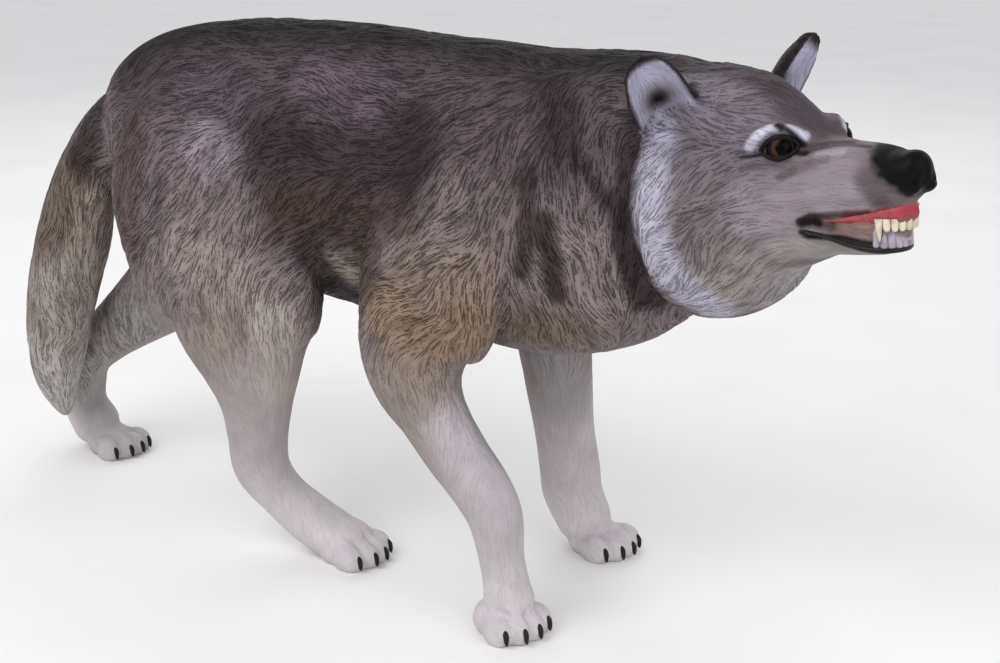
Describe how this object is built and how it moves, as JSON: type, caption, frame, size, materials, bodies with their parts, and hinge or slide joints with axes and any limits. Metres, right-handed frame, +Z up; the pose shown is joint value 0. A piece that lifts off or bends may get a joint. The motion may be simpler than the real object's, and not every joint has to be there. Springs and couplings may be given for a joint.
{
  "type": "wolf figurine",
  "caption": "Life-size snarling wolf statue, stalking with its head low and turned to its right, cast in one piece with carved fur, toes and bared teeth.",
  "frame": {"origin": "on the ground, under the middle of the casting's box", "axes": "+X the way the body walks and its longest extent, +Y the wolf's left side, +Z up; the head is turned 28 degrees to the wolf's right"},
  "size_m": [1.5424, 0.3884, 0.7812],
  "materials": {
    "painted_coat": "hand-painted glass-fibre resin in greys and grey-browns, dry-brushed over carved fur, satin varnish",
    "glossy_eye": "brown iris and black pupil under a thick clear gloss",
    "painted_gum": "red paint under gloss varnish",
    "painted_tooth": "ivory paint under gloss varnish",
    "black_paint": "black paint of the nose, the lips and the claws, semi-gloss"
  },
  "bodies": {
    "root": {"wolf_casting": "painted_coat"}
  },
  "joints": []
}
